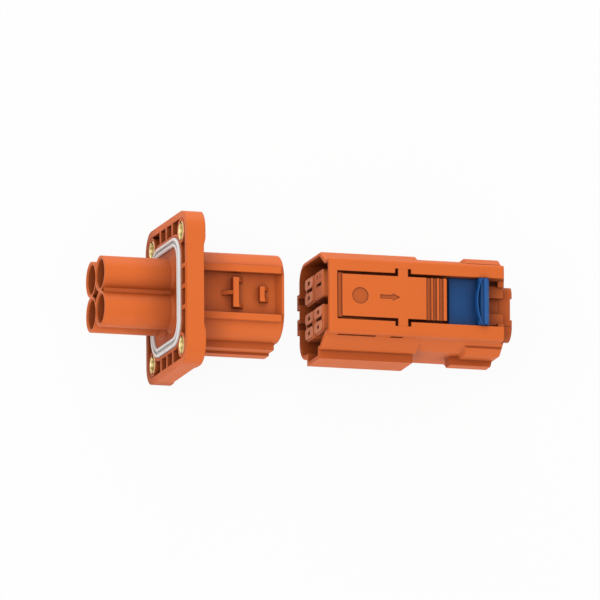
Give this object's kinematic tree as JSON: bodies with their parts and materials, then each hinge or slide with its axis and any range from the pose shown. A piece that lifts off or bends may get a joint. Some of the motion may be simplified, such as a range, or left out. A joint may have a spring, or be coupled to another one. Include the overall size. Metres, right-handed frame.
{
  "type": "battery connector",
  "caption": "High-voltage battery connector: flanged panel receptacle with cable tubes and shroud, and its cable plug with rocker latch and sliding lock, unmated on one axis.",
  "frame": {"origin": "centre of the receptacle flange's panel face, on the mating axis", "axes": "+X along the mating axis from the receptacle's tubes to the plug's cable end, +Z towards the latch, +Y across"},
  "size_m": [0.1846, 0.068, 0.064],
  "materials": {
    "orange_plastic": "satin moulded",
    "blue_plastic": "satin moulded",
    "gasket_rubber": "matt silicone",
    "seal_rubber": "matt silicone",
    "bushing_brass": "turned",
    "contact_copper": "tin plated",
    "tip_plastic": "matt",
    "spring_steel": "rolled"
  },
  "bodies": {
    "receptacle": {"receptacle_housing": "orange_plastic", "flange_gasket": "gasket_rubber", "compression_limiter_1": "bushing_brass", "compression_limiter_2": "bushing_brass", "compression_limiter_3": "bushing_brass", "compression_limiter_4": "bushing_brass", "blade_terminal_1": "contact_copper", "blade_terminal_2": "contact_copper", "blade_terminal_3": "contact_copper", "blade_terminal_4": "contact_copper", "blade_tip_1": "tip_plastic", "blade_tip_2": "tip_plastic", "blade_tip_3": "tip_plastic", "blade_tip_4": "tip_plastic", "interlock_pin_1": "contact_copper", "interlock_pin_2": "contact_copper"},
    "plug": {"plug_housing": "orange_plastic", "silo_housing": "orange_plastic", "interface_seal": "seal_rubber", "interlock_bridge": "contact_copper", "rear_cap": "orange_plastic", "socket_terminal_1": "contact_copper", "socket_terminal_2": "contact_copper", "socket_terminal_3": "contact_copper", "socket_terminal_4": "contact_copper", "contact_spring_1": "spring_steel", "contact_spring_2": "spring_steel", "contact_spring_3": "spring_steel", "contact_spring_4": "spring_steel", "wire_seal_1": "seal_rubber", "wire_seal_2": "seal_rubber", "wire_seal_3": "seal_rubber", "wire_seal_4": "seal_rubber"},
    "latch_lever": {"latch_lever": "orange_plastic"},
    "lock_slider": {"lock_slider": "blue_plastic"}
  },
  "joints": [
    {"name": "mating_slide", "type": "slide", "parent": "receptacle", "child": "plug", "axis": [-1, 0, 0], "range_m": [0, 0.0515]},
    {"name": "lever_pivot", "type": "hinge", "parent": "plug", "child": "latch_lever", "pos_m": [0.09953, 0, 0.0252], "axis": [0, 1, 0], "range_deg": [0, 4.9], "stiffness_Nm_per_rad": 4},
    {"name": "lock_slide", "type": "slide", "parent": "plug", "child": "lock_slider", "axis": [-1, 0, 0], "range_m": [0, 0.0055]}
  ]
}
